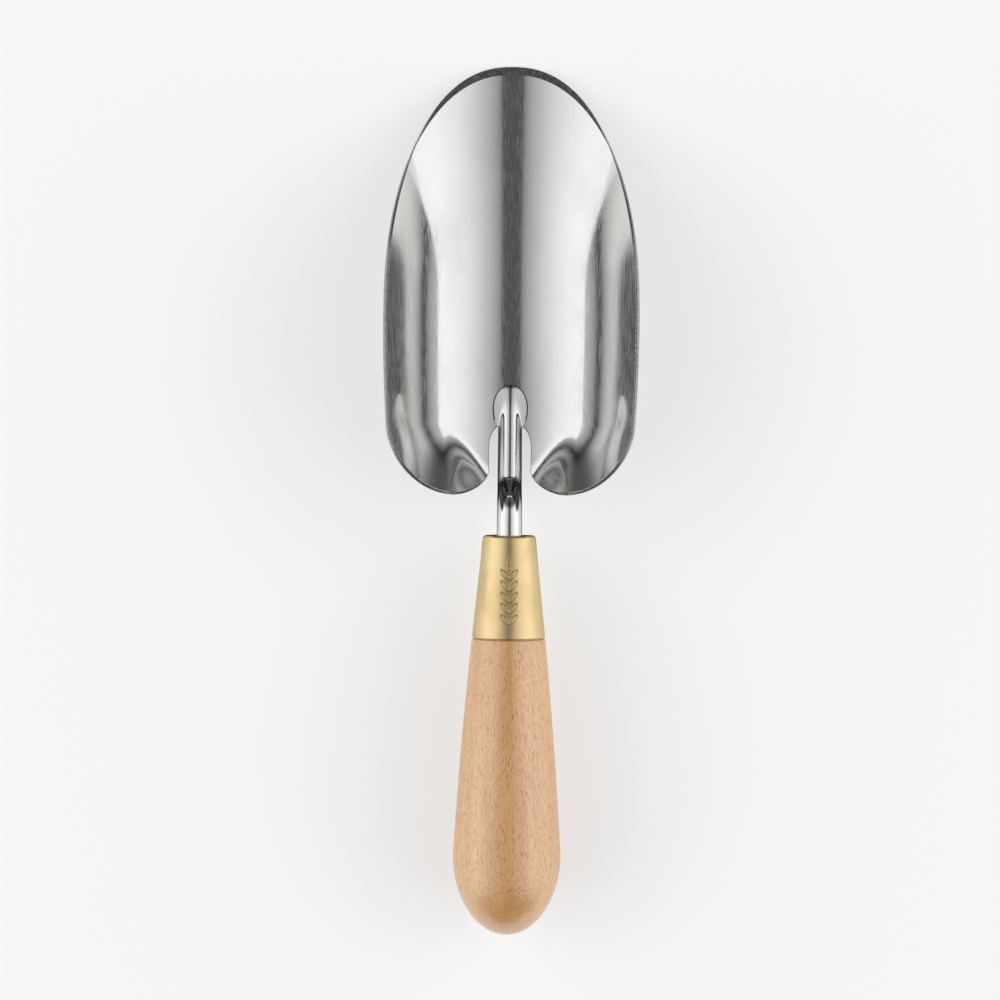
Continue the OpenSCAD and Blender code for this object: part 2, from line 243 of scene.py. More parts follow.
class MeshBuilder:
    """Collects vertices with their normals, and faces with their material and whether they are flat."""

    def __init__(self):
        self.points = []
        self.normals = []
        self.faces = []
        self.flat = []
        self.slots = []

    def point(self, place, normal):
        """Adds a vertex, given in the blade's own frame."""
        self.points.append(pitched(place))
        self.normals.append(pitched_vector(normal))
        return len(self.points) - 1

    def face(self, corners, side, flat=False, slot=FACE):
        """Adds a face, given as it is on the +x side and turned over on the other."""
        self.faces.append(tuple(corners if side > 0 else corners[::-1]))
        self.flat.append(flat)
        self.slots.append(slot)

    def drop_unused(self):
        used = sorted({v for face in self.faces for v in face})
        renumber = {old: new for new, old in enumerate(used)}
        self.points = [self.points[v] for v in used]
        self.normals = [self.normals[v] for v in used]
        self.faces = [tuple(renumber[v] for v in face) for face in self.faces]

    def build(self, name, materials):
        mesh = bpy.data.meshes.new(name)
        mesh.from_pydata([tuple(p * MM) for p in self.points], [], self.faces)
        for material in materials:
            mesh.materials.append(material)
        mesh.polygons.foreach_set("material_index", self.slots)
        mesh.polygons.foreach_set("use_smooth", [True] * len(self.faces))
        mesh.update()
        corner_normals = []
        for polygon, flat in zip(mesh.polygons, self.flat):
            for v in polygon.vertices:
                corner_normals.append(tuple(polygon.normal) if flat else tuple(self.normals[v]))
        mesh.normals_split_custom_set(corner_normals)
        return link_object(name, mesh)


# ---- Blade: row 0 is the front edge and row 1 the top of its bevel. s runs from the middle to the side. ----
def bevel_fade(s):
    return 1 - s ** 4


def row_u(i, s):
    if i == 0:
        return front_u(s * BEVEL_REACH)
    if i <= STRAIGHT_ROW:
        start = front_u(s * BEVEL_REACH) + EDGE_STEP + BEVEL_WIDTH * bevel_fade(s)
        return start + (STRAIGHT_U - start) * (i - 1) / (STRAIGHT_ROW - 1)
    if i <= SLOT_ROW:
        return STRAIGHT_U + (SLOT_START - STRAIGHT_U) * (i - STRAIGHT_ROW) / (SLOT_ROW - STRAIGHT_ROW)
    k = (i - SLOT_ROW) / (LAST_ROW - SLOT_ROW)
    return SLOT_START + (BLADE_LENGTH - END_STEP - SLOT_START) * (1 - math.cos(math.pi * k)) / 2


def grid_x(i, s):
    edge_u = row_u(i, 1)
    inner = inner_x(edge_u)
    outer = BEVEL_REACH if i == 0 else outer_x(edge_u)
    return inner + (outer - inner) * s


def outline_normal(i, side, inner):
    """Outward unit vector along the sheet at the end of a row, on its outer or its slot side."""
    if inner and i == SLOT_ROW:
        return BACKWARD
    before = max(SLOT_ROW if inner else 0, i - 1)
    after = min(LAST_ROW, i + 1)
    s = 0.0 if inner else 1.0
    tangent = (sheet_point(side * grid_x(after, s), row_u(after, s), SHEET / 2)
               - sheet_point(side * grid_x(before, s), row_u(before, s), SHEET / 2))
    outward = np.cross(tangent, under_normal(side * grid_x(i, s), row_u(i, s)))
    return outward / np.linalg.norm(outward) * (side if inner else -side)


def half_row(mesh, i, side):
    """Vertices of row i on one side, above and below the sheet, each from the middle out."""
    upper = []
    lower = []
    for j in range(SIDE_COLS + 1):
        s = j / SIDE_COLS
        x = side * grid_x(i, s)
        u = row_u(i, s)
        top = SHEET + (EDGE_THICKNESS - SHEET) * bevel_fade(s) if i == 0 else SHEET
        normal = under_normal(x, u)
        upper.append(mesh.point(sheet_point(x, u, top), normal))
        lower.append(mesh.point(sheet_point(x, u, 0), -normal))
    return upper, lower


def rounded_edge(mesh, i, side, inner):
    """Vertices round the rim at the end of row i, from the upper face to the lower one."""
    s = 0.0 if inner else 1.0
    x = side * grid_x(i, s)
    u = row_u(i, s)
    normal = under_normal(x, u)
    outward = outline_normal(i, side, inner)
    middle = sheet_point(x, u, SHEET / 2)
    bulge = EDGE_BULGE * max(LEAST_BULGE, smooth(i / BULGE_ROWS))
    ring = []
    for k in range(1, ROUND_STEPS):
        a = math.pi * k / ROUND_STEPS
        place = middle + normal * math.cos(a) * SHEET / 2 + outward * math.sin(a) * bulge
        direction = normal * math.cos(a) / SHEET * 2 + outward * math.sin(a) / bulge
        ring.append(mesh.point(place, direction / np.linalg.norm(direction)))
    return ring


def blade_row(mesh, i):
    """Row i on both sides, which share what lies in the middle in front of the slot."""
    row = {}
    for side in (-1, 1):
        row[side] = half_row(mesh, i, side)
        row[side, "outer"] = rounded_edge(mesh, i, side, False)
        if i >= SLOT_ROW:
            row[side, "inner"] = rounded_edge(mesh, i, side, True)
    if i <= SLOT_ROW:
        for right, left in zip(row[1], row[-1]):
            right[0] = left[0]
    if i == SLOT_ROW:
        row[1, "inner"] = row[-1, "inner"]
    return row


def edge_chain(row, side, name):
    """Vertices round the outer or the inner rim, with those of the upper and the lower face at its ends."""
    upper, lower = row[side]
    end = -1 if name == "outer" else 0
    return [upper[end]] + row[side, name] + [lower[end]]


def join_edges(mesh, here, there, side, name):
    near = edge_chain(here, side, name)
    far = edge_chain(there, side, name)
    facing = side if name == "outer" else -side
    for k in range(len(near) - 1):
        mesh.face((near[k], far[k], far[k + 1], near[k + 1]), facing, slot=RIM)


def join_rows(mesh, i, here, there):
    """Faces between row i and the next one."""
    front = i == 0
    for side in (-1, 1):
        upper, lower = here[side]
        upper_next, lower_next = there[side]
        for j in range(SIDE_COLS):
            mesh.face((upper[j], upper_next[j], upper_next[j + 1], upper[j + 1]), side,
                      flat=front, slot=BEVEL if front else FACE)
            mesh.face((lower[j], lower[j + 1], lower_next[j + 1], lower_next[j]), side)
        join_edges(mesh, here, there, side, "outer")
        if i >= SLOT_ROW:
            join_edges(mesh, here, there, side, "inner")


def close_ends(mesh, first, last):
    """The blunt front of the bevel, and the ends of the rim in the first and the last row."""
    for side in (-1, 1):
        upper, lower = first[side]
        for j in range(SIDE_COLS):
            mesh.face((lower[j], upper[j], upper[j + 1], lower[j + 1]), side, flat=True, slot=BEVEL)
        mesh.face(edge_chain(first, side, "outer"), side, flat=True, slot=RIM)
        upper, lower = last[side]
        loop = upper + last[side, "outer"] + lower[::-1] + last[side, "inner"][::-1]
        mesh.face(loop, -side, flat=True, slot=RIM)


def build_blade(materials):
    mesh = MeshBuilder()
    rows = [blade_row(mesh, i) for i in range(LAST_ROW + 1)]
    for i in range(LAST_ROW):
        join_rows(mesh, i, rows[i], rows[i + 1])
    close_ends(mesh, rows[0], rows[LAST_ROW])
    mesh.drop_unused()
    return mesh.build("blade_sheet", materials)


# ---- Rings round an axis in the middle plane, where a place is (back from the tip, height) ----
# Height of the handle's axis at its thickest place, which rests on the floor
GRIP_HEIGHT = GRIP_RADIUS / math.cos(HANDLE_PITCH)


def place_point(x, back, height):
    return np.array((x, TOOL_LENGTH / 2 - back, height))


def axis_place(back):
    """Place on the handle's axis."""
    return np.array((back, GRIP_HEIGHT + (TOOL_LENGTH - BUTT_LENGTH - back) * math.tan(HANDLE_PITCH)))


def behind(place, slope, d):
    return place + d * np.array((math.cos(slope), math.sin(slope)))


def ring_angles(count):
    return [2 * math.pi * j / count for j in range(count)]


def tilted_point(place, slope, x, up):
    """A point beside an axis that rises at the slope: x across, and up at a right angle to it."""
    return place_point(x, place[0] - math.sin(slope) * up, place[1] + math.cos(slope) * up)


def round_ring(place, slope, r, count=RING_POINTS):
    return [tilted_point(place, slope, r * math.cos(a), r * math.sin(a)) for a in ring_angles(count)]


def skin_faces(count, n, closed):
    """Faces between rings of n points: back to the first ring if closed, or else with a cap at each end."""
    faces = [] if closed else [tuple(reversed(range(n)))]
    for i in range(count if closed else count - 1):
        following = (i + 1) % count
        for j in range(n):
            k = (j + 1) % n
            faces.append((i * n + k, following * n + k, following * n + j, i * n + j))
    if not closed:
        faces.append(tuple(range((count - 1) * n, count * n)))
    return faces


def build_skin(name, rings, closed, material):
    mesh = bpy.data.meshes.new(name)
    points = [tuple(p * MM) for ring in rings for p in ring]
    mesh.from_pydata(points, [], skin_faces(len(rings), len(rings[0]), closed))
    mesh.materials.append(material)
    mesh.update()
    mesh.shade_smooth()
    mesh.set_sharp_from_angle(angle=SHARP_ANGLE)
    return link_object(name, mesh)


# ---- Neck: rings from the pad to the tang ----
NECK_AXIS = SHEET + NECK_PROUD - NECK_RADIUS
SLOT_POINT = pitched(np.array((0.0, -SHOULDER_U, NECK_AXIS)))
SLOT_PLACE = np.array((TOOL_LENGTH / 2 - SLOT_POINT[1], SLOT_POINT[2]))
FERRULE_PLACE = axis_place(FERRULE_START)


def pad_half(d):
    """Half width of the pad at a distance in front of its widest place, or behind it if negative."""
    reach = PAD_FRONT if d > 0 else PAD_REAR
    return PAD_WIDTH / 2 * math.sqrt(max(0.0, 1 - d * d / reach ** 2))


def pad_top(x, u, half):
    """Height of the pad above the sheet: the rod's round ridge blended into a sloping flange."""
    ridge = NECK_PROUD - (SHOULDER_U - u) * math.tan(PAD_FALL)
    round_top = ridge - NECK_RADIUS + math.sqrt(max(0.0, NECK_RADIUS ** 2 - x * x))
    inward = math.hypot(half, RIDGE_ROUND) - math.hypot(x, RIDGE_ROUND)
    flange = PAD_EDGE + inward * math.tan(FLANGE_SLOPE)
    return (max(0.0, round_top) ** BLEND_POWER + flange ** BLEND_POWER) ** (1 / BLEND_POWER)


def pad_ring(u):
    half = pad_half(PAD_START + PAD_FRONT - u)
    ring = []
    for j, a in enumerate(ring_angles(RING_POINTS)):
        x = half * math.cos(a)
        height = SHEET + GAP + x * x / (2 * (TROUGH_RADIUS - SHEET))
        if j <= RING_POINTS // 2:
            height += pad_top(x, u, half)
        ring.append(pitched(np.array((x, -u, height))))
    return ring


def heel_ring(place, d, r):
    """Round above its axis, and below it as deep as the heel has come down at distance d."""
    depth = HEEL_DEPTH + (r - HEEL_DEPTH) * math.sin(math.pi / 2 * d / HEEL_LENGTH)
    ring = []
    for j, a in enumerate(ring_angles(RING_POINTS)):
        up = math.sin(a) * (r if j <= RING_POINTS // 2 else depth)
        ring.append(tilted_point(place, BLADE_PITCH, r * math.cos(a), up))
    return ring


def neck_radius(place):
    k = (place[0] - SLOT_PLACE[0]) / (FERRULE_PLACE[0] - SLOT_PLACE[0])
    return NECK_RADIUS + (NECK_REAR_RADIUS - NECK_RADIUS) * min(1.0, k)


def turn(start, end, upward):
    """Step along a bend from one slope to another."""
    sign = 1 if upward else -1
    return BEND_RADIUS * sign * np.array((math.sin(end) - math.sin(start), math.cos(start) - math.cos(end)))


def bend_places():
    """Where the two bends start. The straight riser between them ends the second one on the handle's axis."""
    first = behind(SLOT_PLACE, BLADE_PITCH, BEND_START - SHOULDER_U)
    first_end = first + turn(BLADE_PITCH, BEND_ANGLE, True)
    without_riser = first_end + turn(BEND_ANGLE, -HANDLE_PITCH, False)
    missing = axis_place(without_riser[0])[1] - without_riser[1]
    riser = missing / (math.sin(BEND_ANGLE) + math.cos(BEND_ANGLE) * math.tan(HANDLE_PITCH))
    return first, behind(first_end, BEND_ANGLE, riser)


def bend_rings(bend, start, end, upward):
    rings = []
    for i in range(BEND_STEPS + 1):
        slope = start + (end - start) * i / BEND_STEPS
        place = bend + turn(start, slope, upward)
        rings.append(round_ring(place, slope, neck_radius(place)))
    return rings


def pad_rings():
    rings = []
    for i in range(1, PAD_STEPS + 1):
        share = 1 - math.cos(math.pi / 2 * i / PAD_STEPS)
        rings.append(pad_ring(PAD_START + (SHOULDER_U - PAD_START) * share))
    return rings


def heel_rings():
    rings = []
    for i in range(HEEL_STEPS + 1):
        d = SHOULDER_STEP + (HEEL_LENGTH - SHOULDER_STEP) * i / HEEL_STEPS
        place = behind(SLOT_PLACE, BLADE_PITCH, d)
        rings.append(heel_ring(place, d, neck_radius(place)))
    return rings


def tang_rings():
    """The end of the shank, just inside the ferrule, and the thinner tang behind it."""
    profile = ((0.0, NECK_REAR_RADIUS), (SHANK_END, NECK_REAR_RADIUS), (SHANK_END, TANG_RADIUS),
               (TANG_LENGTH - TANG_TAPER, TANG_RADIUS), (TANG_LENGTH, TANG_RADIUS / 2))
    return axis_rings(profile, RING_POINTS)


def neck_rings():
    first, second = bend_places()
    return (pad_rings() + heel_rings() + bend_rings(first, BLADE_PITCH, BEND_ANGLE, True)
            + bend_rings(second, BEND_ANGLE, -HANDLE_PITCH, False) + tang_rings())


# ---- Turned pieces: profiles of (distance behind the ferrule's front face, radius) ----
HANDLE_END = (TOOL_LENGTH - FERRULE_START) / math.cos(HANDLE_PITCH)
# A mesh ring needs some radius where the handle's profile meets its axis
AXIS_RADIUS = 0.01


def axis_rings(profile, count):
    """Rings round the handle's axis."""
    rings = []
    for d, r in profile:
        rings.append(round_ring(behind(FERRULE_PLACE, -HANDLE_PITCH, d), -HANDLE_PITCH, r, count))
    return rings


def arc(centre_r, centre_d, radius, start, end, steps):
    """Points of a profile from one angle to another, in degrees."""
    points = []
    for i in range(steps + 1):
        a = math.radians(start + (end - start) * i / steps)
        points.append((centre_d + radius * math.sin(a), centre_r + radius * math.cos(a)))
    return points


def ferrule_r(d):
    return FERRULE_FRONT_RADIUS + (FERRULE_REAR_RADIUS - FERRULE_FRONT_RADIUS) * d / FERRULE_LENGTH


def ferrule_profile():
    hole = NECK_REAR_RADIUS + GAP
    shoulder = FERRULE_SHOULDER_ROUND
    rim = FERRULE_RIM_ROUND
    profile = [(0.0, hole)]
    profile += arc(ferrule_r(shoulder) - shoulder, shoulder, shoulder, -90, 0, SHOULDER_STEPS)
    profile += arc(FERRULE_REAR_RADIUS - rim, FERRULE_LENGTH - rim, rim, 0, 90, RIM_STEPS)
    profile.append((FERRULE_LENGTH, ferrule_r(FERRULE_LENGTH) - FERRULE_WALL))
    profile.append((FERRULE_CAP, ferrule_r(FERRULE_CAP) - FERRULE_WALL))
    profile.append((FERRULE_CAP, hole))
    return profile


def grip_profile(start, end):
    """The handle's swelling side, then its elliptical butt as far as the last point before the axis."""
    profile = []
    for i in range(GRIP_STEPS + 1):
        k = i / GRIP_STEPS
        swell = GRIP_SWELL * 4 * k * (1 - k)
        r = HANDLE_FRONT_RADIUS + (GRIP_RADIUS - HANDLE_FRONT_RADIUS) * k + swell
        profile.append((start + (end - start) * k, r))
    for i in range(1, BUTT_STEPS):
        a = math.pi / 2 * i / BUTT_STEPS
        profile.append((end + BUTT_LENGTH * math.sin(a), GRIP_RADIUS * math.cos(a)))
    return profile


def handle_profile():
    body = FERRULE_LENGTH + JOINT_LINE
    edge = HANDLE_FRONT_ROUND
    profile = [(SPIGOT_START, BORE_RADIUS)]
    profile.append((SPIGOT_START, ferrule_r(SPIGOT_START) - FERRULE_WALL - GAP))
    profile.append((body, ferrule_r(FERRULE_LENGTH) - FERRULE_WALL - GAP))
    profile += arc(HANDLE_FRONT_RADIUS - edge, body + edge, edge, -90, 0, FRONT_STEPS)[:-1]
    profile += grip_profile(body + edge, HANDLE_END - BUTT_LENGTH)
    profile += [(HANDLE_END, AXIS_RADIUS), (BORE_END, AXIS_RADIUS), (BORE_END, BORE_RADIUS)]
    return profile


# ---- Materials. Object coordinates are metres in the shared frame: x across, y along the tool. ----
class NodeTree:
    """The node tree of a material or of the world, with short ways to add nodes to it."""

    def __init__(self, tree):
        self.nodes = tree.nodes
        self.links = tree.links

    def put(self, value, socket):
        """Gives a socket a number, a colour or another node's output."""
        if isinstance(value, bpy.types.NodeSocket):
            self.links.new(value, socket)
        elif isinstance(value, tuple) and len(socket.default_value) == 4:
            socket.default_value = (*value, 1)
        else:
            socket.default_value = value

    def axes(self, vector):
        """The x, y and z of a vector."""
        node = self.nodes.new("ShaderNodeSeparateXYZ")
        self.links.new(vector, node.inputs[0])
        return node.outputs

    def remap(self, value, low, high, to_low=0.0, to_high=1.0):
        node = self.nodes.new("ShaderNodeMapRange")
        node.interpolation_type = "SMOOTHSTEP"
        for name, number in (("From Min", low), ("From Max", high), ("To Min", to_low), ("To Max", to_high)):
            node.inputs[name].default_value = number
        self.links.new(value, node.inputs["Value"])
        return node.outputs["Result"]

    def math(self, operation, *values):
        node = self.nodes.new("ShaderNodeMath")
        node.operation = operation
        for socket, value in zip(node.inputs, values):
            self.put(value, socket)
        return node.outputs[0]

    def emission(self, colour):
        node = self.nodes.new("ShaderNodeEmission")
        self.put(colour, node.inputs["Color"])
        return node.outputs[0]

    def diffuse(self, colour):
        node = self.nodes.new("ShaderNodeBsdfDiffuse")
        self.put(colour, node.inputs["Color"])
        return node.outputs[0]

    def blend(self, share, first, second):
        """Mix of two shaders."""
        node = self.nodes.new("ShaderNodeMixShader")
        for socket, value in zip(node.inputs, (share, first, second)):
            self.links.new(value, socket)
        return node.outputs[0]


class Shading(NodeTree):
    """A material with its principled shader and the patterns that drive it."""

    def __init__(self, name):
        self.material = bpy.data.materials.new(name)
        self.material.use_nodes = True
        super().__init__(self.material.node_tree)
        self.shader = self.nodes["Principled BSDF"]
        self.place = self.nodes.new("ShaderNodeTexCoord").outputs["Object"]

    def set(self, **values):
        """Sets inputs of the shader by name, with _ for a space."""
        for name, value in values.items():
            self.put(value, self.shader.inputs[name.replace("_", " ")])

    def stretched(self, scale):
        node = self.nodes.new("ShaderNodeMapping")
        node.inputs["Scale"].default_value = scale
        self.links.new(self.place, node.inputs["Vector"])
        return node.outputs["Vector"]

    def noise(self, scale, detail=2.0):
        """Noise with the given numbers of features per metre along x, y and z."""
        node = self.nodes.new("ShaderNodeTexNoise")
        node.inputs["Scale"].default_value = 1.0
        node.inputs["Detail"].default_value = detail
        self.links.new(self.stretched(scale), node.inputs["Vector"])
        return node.outputs["Fac"]

    def cells(self, scale):
        """Distance to the nearest of some scattered points, and a number that differs from point to point."""
        node = self.nodes.new("ShaderNodeTexVoronoi")
        node.inputs["Scale"].default_value = 1.0
        self.links.new(self.stretched(scale), node.inputs["Vector"])
        split = self.nodes.new("ShaderNodeSeparateColor")
        self.links.new(node.outputs["Color"], split.inputs["Color"])
        return node.outputs["Distance"], split.outputs["Red"]

    def mix(self, share, first, second):
        """Mix of two colours."""
        node = self.nodes.new("ShaderNodeMix")
        node.data_type = "RGBA"
        colours = [socket for socket in node.inputs if socket.type == "RGBA"]
        self.links.new(share, node.inputs["Factor"])
        self.put(first, colours[0])
        self.put(second, colours[1])
        return next(socket for socket in node.outputs if socket.type == "RGBA")

    def bump(self, height, depth):
        """Normals for a height of 0 to 1 that stands for a depth in metres."""
        node = self.nodes.new("ShaderNodeBump")
        node.inputs["Distance"].default_value = depth
        self.links.new(height, node.inputs["Height"])
        return node.outputs["Normal"]

    def scratches(self, scale, width):
        """Thin wandering lines: places where a stretched noise passes through its middle value."""
        line = self.math("ABSOLUTE", self.math("SUBTRACT", self.noise(scale, 1.0), 0.5))
        where = self.remap(self.noise((60, 25, 60)), 0.5, 0.75)
        return self.math("MULTIPLY", self.remap(line, width, 0.0), where)


def polished_steel():
    """Polished sheet with the fine lengthwise lines of the brush, faint smears and scratches."""
    clean = (0.74, 0.74, 0.73)
    dull = (0.6, 0.6, 0.58)
    m = Shading("polished steel")
    brushed = m.noise((5200, 70, 5200), 3.0)
    smear = m.noise((45, 30, 45), 3.0)
    scratch = m.math("MULTIPLY", m.scratches((900, 12, 900), 0.005), 0.5)
    rough = m.math("ADD", m.remap(brushed, 0.4, 0.7, 0.06, 0.24), m.remap(smear, 0.5, 0.75, 0.0, 0.05))
    m.set(Metallic=1.0,
          Base_Color=m.mix(m.math("ADD", m.remap(smear, 0.45, 0.8, 0.0, 0.5), scratch), clean, dull),
          Roughness=m.math("ADD", rough, m.math("MULTIPLY", scratch, 0.2)),
          Normal=m.bump(brushed, 5e-7))
    return m.material


def marked_steel(name, scale, dark, light, rough, depth):
    """Worked steel with marks that change its colour, roughness and height together."""
    m = Shading(name)
    marks = m.noise(scale, 3.0)
    m.set(Metallic=1.0,
          Base_Color=m.mix(m.remap(marks, 0.35, 0.7), dark, light),
          Roughness=m.remap(marks, 0.3, 0.7, *rough),
          Normal=m.bump(marks, depth))
    return m.material


def ground_steel():
    """The ground bevel: coarse marks that run along the tool, across the edge."""
    return marked_steel("ground steel", scale=(3200, 160, 3200), dark=(0.26, 0.26, 0.26),
                        light=(0.52, 0.52, 0.51), rough=(0.28, 0.45), depth=6e-6)


def cut_steel():
    """The sheet's cut edge: tumbled smooth but duller than the faces, with marks from the shears."""
    return marked_steel("cut steel", scale=(2400, 2400, 2400), dark=(0.24, 0.24, 0.24),
                        light=(0.42, 0.42, 0.41), rough=(0.2, 0.34), depth=3e-6)


def mirror_steel():
    """Buffed round bar, nearly a mirror, with hairlines from the buffing and small dull spots."""
    bright = (0.78, 0.78, 0.77)
    dull = (0.6, 0.6, 0.59)
    m = Shading("mirror steel")
    hairlines = m.noise((2600, 260, 2600), 2.0)
    spots = m.noise((330, 330, 330), 3.0)
    m.set(Metallic=1.0,
          Base_Color=m.mix(m.remap(spots, 0.62, 0.75), bright, dull),
          Roughness=m.math("ADD", m.remap(hairlines, 0.45, 0.75, 0.03, 0.12),
                           m.remap(spots, 0.6, 0.75, 0.0, 0.1)),
          Normal=m.bump(hairlines, 3e-7))
    return m.material


def weld_metal():
    """Dark bead with the ripples of the weld pool."""
    oxide = (0.03, 0.03, 0.03)
    bare = (0.16, 0.15, 0.14)
    m = Shading("weld metal")
    ripple = m.noise((1100, 1100, 1100), 2.0)
    m.set(Metallic=1.0,
          Base_Color=m.mix(m.remap(ripple, 0.35, 0.7), oxide, bare),
          Roughness=m.remap(ripple, 0.3, 0.7, 0.3, 0.55),
          Normal=m.bump(ripple, 8e-5))
    return m.material


# ---- Sprig engraved in the ferrule's upper side, in metres ----
SPRIG_FOOT = -0.0445
# It fades in between these heights, so that it is only on the upper side
SPRIG_HEIGHTS = (0.018, 0.02)
LEAF_PAIRS = 5
LEAF_SPACING = 0.0038
LEAF_LENGTH = 0.0040
LEAF_WIDTH = 0.0015
LEAF_SLANT = math.radians(38)
# The first leaves grow from the stem this share of the spacing above its foot
LEAF_OFFSET = 0.25
# Shares of a leaf's half size over which its outline fades out and is full
LINE_FADE = (0.34, 0.1)
# The stem fades out and is full at these distances from its middle, and fades over this length at its ends
STEM_EDGE = (0.0002, 0.00008)
STEM_FADE = 0.0004


def leaf_line(m, x, y, stem_y, slant):
    """Outline of a leaf that grows from the stem at stem_y, slanting away from it."""
    dx = m.math("SUBTRACT", x, math.sin(slant) * LEAF_LENGTH / 2)
    dy = m.math("SUBTRACT", y, stem_y + math.cos(slant) * LEAF_LENGTH / 2)
    along = m.math("ADD", m.math("MULTIPLY", dx, math.sin(slant)), m.math("MULTIPLY", dy, math.cos(slant)))
    across = m.math("SUBTRACT", m.math("MULTIPLY", dx, math.cos(slant)),
                    m.math("MULTIPLY", dy, math.sin(slant)))
    far = m.math("SQRT", m.math("ADD", m.math("POWER", m.math("DIVIDE", along, LEAF_LENGTH / 2), 2.0),
                                m.math("POWER", m.math("DIVIDE", across, LEAF_WIDTH / 2), 2.0)))
    return m.remap(m.math("ABSOLUTE", m.math("SUBTRACT", far, 1.0)), *LINE_FADE)


def sprig(m):
    """A leafy sprig, the same on both sides of its stem: 1 on its lines and 0 elsewhere."""
    where = m.axes(m.place)
    x = m.math("ABSOLUTE", where["X"])
    y = where["Y"]
    top = SPRIG_FOOT + LEAF_PAIRS * LEAF_SPACING
    stem_ends = m.math("MULTIPLY", m.remap(y, SPRIG_FOOT, SPRIG_FOOT + STEM_FADE),
                       m.remap(y, top + STEM_FADE, top))
    lines = m.math("MULTIPLY", m.remap(x, *STEM_EDGE), stem_ends)
    for i in range(LEAF_PAIRS):
        leaf = leaf_line(m, x, y, SPRIG_FOOT + (i + LEAF_OFFSET) * LEAF_SPACING, LEAF_SLANT)
        lines = m.math("MAXIMUM", lines, leaf)
    lines = m.math("MAXIMUM", lines, leaf_line(m, x, y, top, 0.0))
    return m.math("MULTIPLY", lines, m.remap(where["Z"], *SPRIG_HEIGHTS))


def satin_brass():
    """Brass with a fine satin grain, light tarnish and the engraved sprig."""
    clean = (0.80, 0.62, 0.33)
    tarnished = (0.66, 0.50, 0.23)
    groove = (0.26, 0.16, 0.05)
    groove_depth = 1.2e-4
    grain_share = 0.0008
    m = Shading("satin brass")
    grain = m.noise((4200, 900, 4200), 2.0)
    tarnish = m.noise((140, 70, 140), 2.0)
    engraved = sprig(m)
    metal = m.mix(m.remap(tarnish, 0.42, 0.75, 0.0, 0.75), clean, tarnished)
    height = m.math("SUBTRACT", m.math("MULTIPLY", grain, grain_share), engraved)
    m.set(Metallic=1.0,
          Base_Color=m.mix(m.math("MULTIPLY", engraved, 0.55), metal, groove),
          Roughness=m.math("ADD", m.remap(grain, 0.3, 0.7, 0.30, 0.35), m.math("MULTIPLY", engraved, 0.15)),
          Normal=m.bump(height, groove_depth))
    return m.material


def ray_flecks(m):
    """Short dark flecks in two layers. Each has its cells across and along per metre, and its limit."""
    flecks = 0.0
    for across, along, limit in ((2000, 230, 0.33), (2700, 380, 0.3)):
        distance, chance = m.cells((across, along, across))
        layer = m.math("MULTIPLY", m.remap(distance, limit, 0.12), m.remap(chance, 0.0, 0.4))
        flecks = m.math("MAXIMUM", layer, flecks)
    return flecks


def beech_wood():
    """Oiled beech: faint growth bands, fine fibres and the short dark flecks of the rays."""
    early = (0.66, 0.35, 0.115)
    late = (0.56, 0.28, 0.085)
    fibre = (0.44, 0.215, 0.08)
    fleck = (0.27, 0.075, 0.002)
    m = Shading("beech")
    bands = m.noise((200, 12, 200), 3.0)
    fibres = m.noise((3000, 60, 3000), 3.0)
    flecks = ray_flecks(m)
    pale = m.mix(m.remap(bands, 0.3, 0.72), early, late)
    wood = m.mix(m.remap(fibres, 0.4, 0.75, 0.0, 0.6), pale, fibre)
    m.set(Base_Color=m.mix(flecks, wood, fleck),
          Specular_IOR_Level=1.0,
          Coat_Weight=m.remap(flecks, 0.0, 1.0, 1.0, 0.25),
          Coat_Roughness=0.24,
          Coat_IOR=2.0,
          Roughness=m.remap(fibres, 0.3, 0.7, 0.34, 0.5),
          Normal=m.bump(fibres, 3e-6))
    return m.material


def epoxy():
    """Cured adhesive with small bubbles."""
    resin = (0.55, 0.42, 0.22)
    bubble = (0.75, 0.66, 0.45)
    m = Shading("epoxy")
    distance, chance = m.cells((700, 700, 700))
    bubbles = m.math("MULTIPLY", m.remap(distance, 0.4, 0.25), m.remap(chance, 0.5, 0.7))
    m.set(Base_Color=m.mix(bubbles, resin, bubble),
          Roughness=m.remap(m.noise((300, 300, 300)), 0.3, 0.7, 0.3, 0.5),
          Normal=m.bump(bubbles, 1e-4))
    return m.material


# ---- Pieces ----
def add_piece(obj, node):
    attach(obj, "root")
    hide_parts(node)


ferrule_rings = axis_rings(ferrule_profile(), TURN_POINTS)
handle_rings = axis_rings(handle_profile(), TURN_POINTS)
add_piece(build_blade((polished_steel(), ground_steel(), cut_steel())), "blade")
add_piece(build_skin("neck_rod", neck_rings(), False, mirror_steel()), "neck")
add_piece(build_skin("ferrule_shell", ferrule_rings, True, satin_brass()), "ferrule")
add_piece(build_skin("handle_wood", handle_rings, True, beech_wood()), "handle")
for node, material in (("pad_weld", weld_metal()), ("tang_adhesive", epoxy())):
    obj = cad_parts[node]
    obj.data.materials.clear()
    obj.data.materials.append(material)


# ---- Studio, in metres ----
FLOOR_HALF = 12.0
FLOOR_HEIGHT = -0.0002
PALE = 0.92
# How pale the floor is in reflections: painted shade under the tool, a dark strip that only reflections see,
# so that the round neck gets dark edges, and grey in front of it
MIRRORED_SHADE = 0.03
MIRRORED_FRONT = 0.3
# The strip of painted shade fades from the first of these to the second, beside it, in front and behind
STRIP_BESIDE = (0.01, 0.03)
STRIP_FRONT = (0.06, 0.16)
STRIP_BEHIND = (-0.012, -0.024)
# The floor glows a little to the camera alone, which keeps it pale
GLOW = (0.93, 0.93, 0.93)
GLOW_SHARE = 0.55
